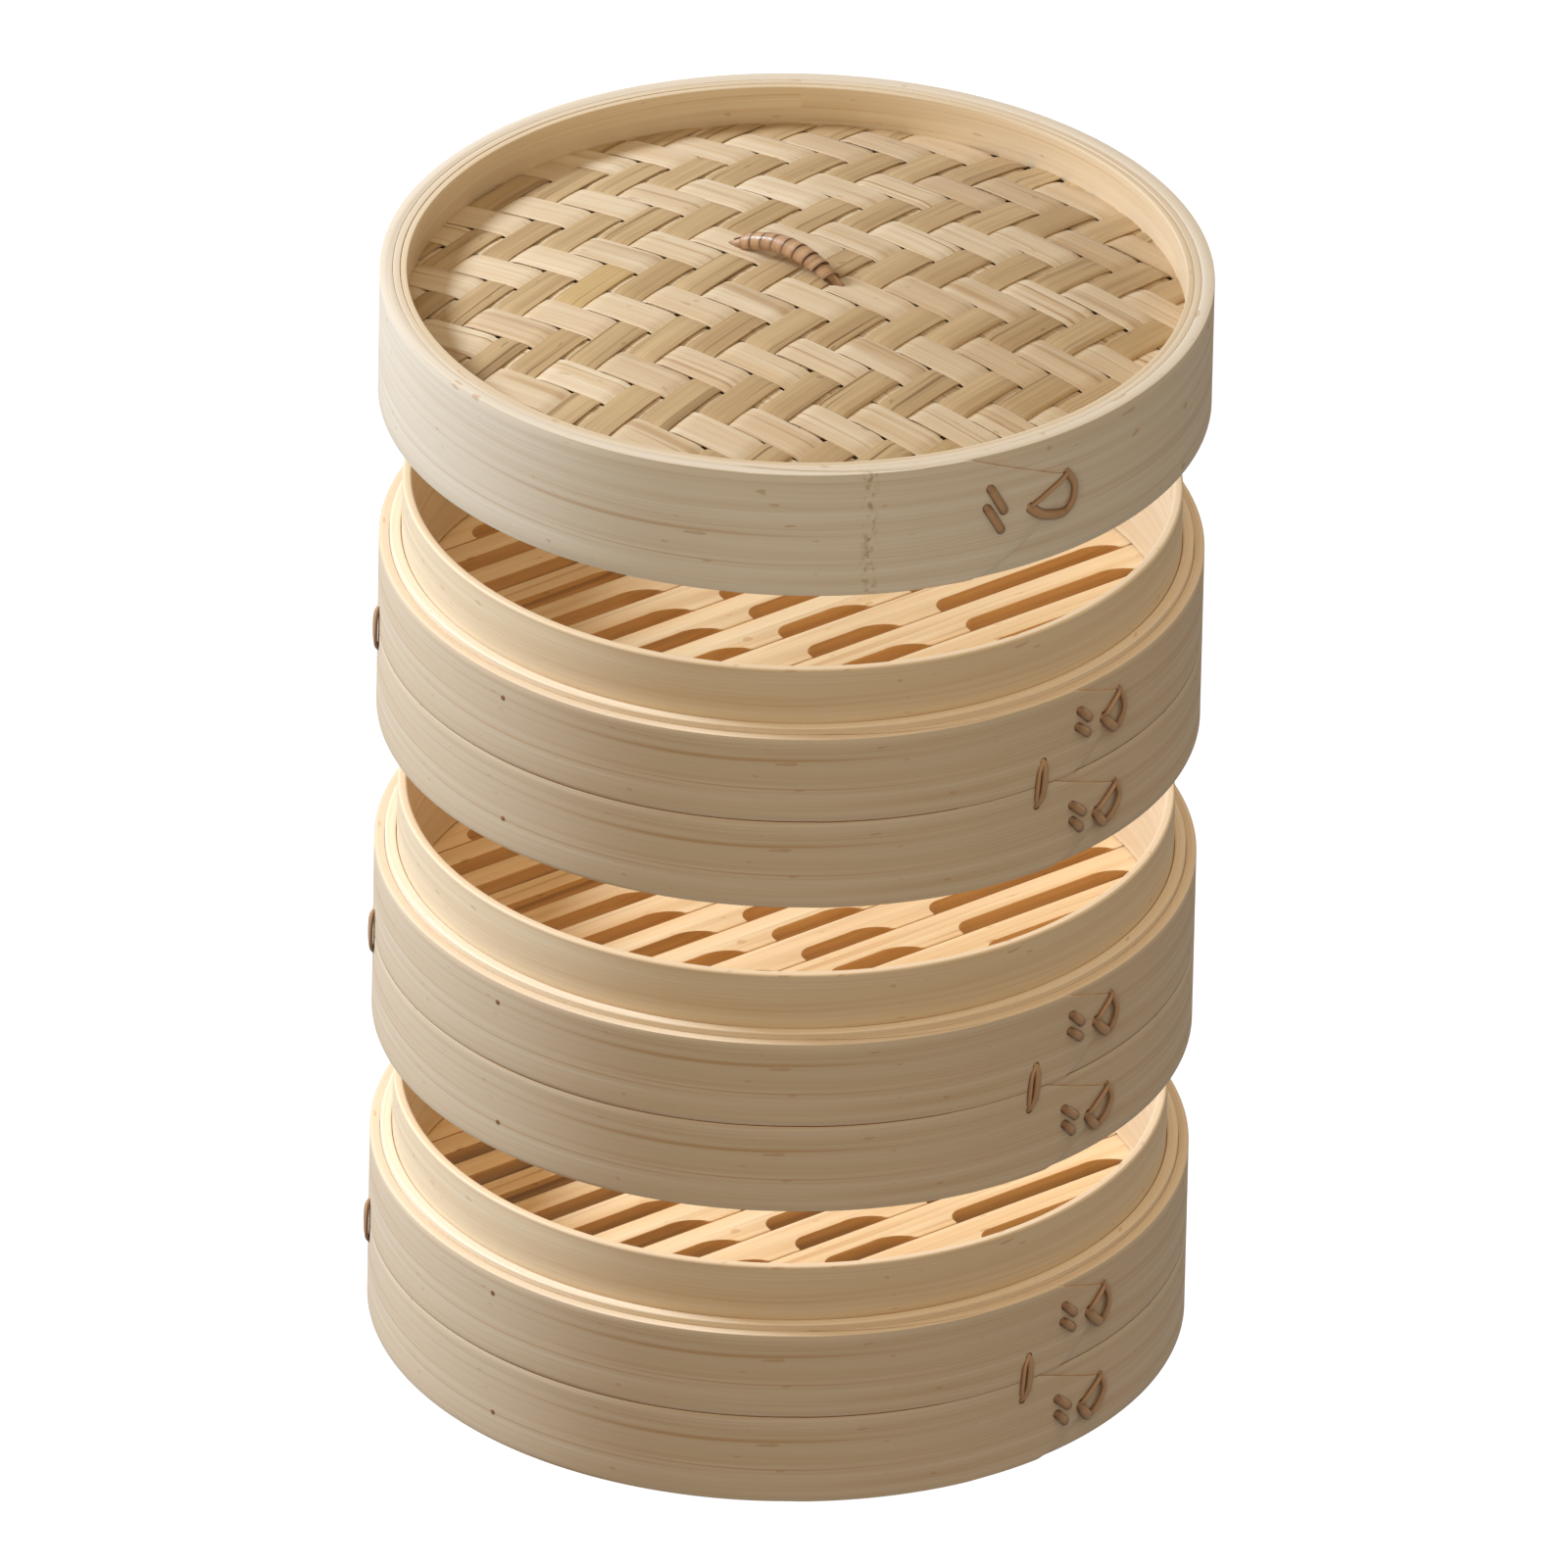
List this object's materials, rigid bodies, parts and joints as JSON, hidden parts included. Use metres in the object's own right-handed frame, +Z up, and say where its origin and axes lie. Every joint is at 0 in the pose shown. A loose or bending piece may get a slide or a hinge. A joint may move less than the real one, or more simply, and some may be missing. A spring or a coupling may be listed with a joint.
{
  "type": "bamboo steamer basket",
  "caption": "Round bamboo steamer: stacking tiers with slatted floors and lashed outer bands, under a lid woven from flat strips with a small rattan handle.",
  "frame": {"origin": "centre of the bottom tier's base rim, on the surface it stands on", "axes": "+Z up along the stack, -Y to the front, +X to the right, with the lashings at the front right"},
  "size_m": [0.2547, 0.2553, 0.3707],
  "materials": {
    "band_bamboo": "satin outer bamboo skin, fine level grain",
    "inner_bamboo": "planed bamboo, satin",
    "rim_bamboo": "pale cut bamboo edge, matt",
    "slat_bamboo": "planed bamboo, satin",
    "bar_bamboo": "split bamboo, matt",
    "weave_light": "split bamboo strip, satin",
    "weave_dark": "split bamboo strip, satin",
    "rattan": "rattan peel, satin",
    "pin_bamboo": "bamboo peg end, matt"
  },
  "bodies": {
    "bottom_tier": {"bottom_tier_inner_wall": "inner_bamboo", "bottom_tier_packing_hoop": "rim_bamboo", "bottom_tier_upper_band": "band_bamboo", "bottom_tier_lower_band": "band_bamboo", "bottom_tier_skirt_hoop": "inner_bamboo", "bottom_tier_cross_bar_left": "bar_bamboo", "bottom_tier_cross_bar_right": "bar_bamboo", "bottom_tier_slats_front": "slat_bamboo", "bottom_tier_slats_front_middle": "slat_bamboo", "bottom_tier_slats_middle": "slat_bamboo", "bottom_tier_slats_back_middle": "slat_bamboo", "bottom_tier_slats_back": "slat_bamboo", "bottom_tier_upper_lashing": "rattan", "bottom_tier_lower_lashing": "rattan", "bottom_tier_seam_ties": "rattan", "bottom_tier_pins": "pin_bamboo"},
    "middle_tier": {"middle_tier_inner_wall": "inner_bamboo", "middle_tier_packing_hoop": "rim_bamboo", "middle_tier_upper_band": "band_bamboo", "middle_tier_lower_band": "band_bamboo", "middle_tier_skirt_hoop": "inner_bamboo", "middle_tier_cross_bar_left": "bar_bamboo", "middle_tier_cross_bar_right": "bar_bamboo", "middle_tier_slats_front": "slat_bamboo", "middle_tier_slats_front_middle": "slat_bamboo", "middle_tier_slats_middle": "slat_bamboo", "middle_tier_slats_back_middle": "slat_bamboo", "middle_tier_slats_back": "slat_bamboo", "middle_tier_upper_lashing": "rattan", "middle_tier_lower_lashing": "rattan", "middle_tier_seam_ties": "rattan", "middle_tier_pins": "pin_bamboo"},
    "top_tier": {"top_tier_inner_wall": "inner_bamboo", "top_tier_packing_hoop": "rim_bamboo", "top_tier_upper_band": "band_bamboo", "top_tier_lower_band": "band_bamboo", "top_tier_skirt_hoop": "inner_bamboo", "top_tier_cross_bar_left": "bar_bamboo", "top_tier_cross_bar_right": "bar_bamboo", "top_tier_slats_front": "slat_bamboo", "top_tier_slats_front_middle": "slat_bamboo", "top_tier_slats_middle": "slat_bamboo", "top_tier_slats_back_middle": "slat_bamboo", "top_tier_slats_back": "slat_bamboo", "top_tier_upper_lashing": "rattan", "top_tier_lower_lashing": "rattan", "top_tier_seam_ties": "rattan", "top_tier_pins": "pin_bamboo"},
    "lid": {"lid_outer_band": "band_bamboo", "lid_skirt_hoop": "inner_bamboo", "lid_rim_hoop": "rim_bamboo", "lid_packing_hoop": "rim_bamboo", "lid_weave_light_strips": "weave_light", "lid_weave_dark_strips": "weave_dark", "lid_handle_core": "rattan", "lid_handle_wrap": "rattan", "lid_lashing": "rattan"}
  },
  "joints": [
    {"name": "middle_tier_lift", "type": "slide", "parent": "bottom_tier", "child": "middle_tier", "axis": [0, 0, 1], "range_m": [-0.042, 0.06]},
    {"name": "top_tier_lift", "type": "slide", "parent": "middle_tier", "child": "top_tier", "axis": [0, 0, 1], "range_m": [-0.046, 0.06]},
    {"name": "lid_lift", "type": "slide", "parent": "top_tier", "child": "lid", "axis": [0, 0, 1], "range_m": [-0.0487, 0.06]}
  ]
}
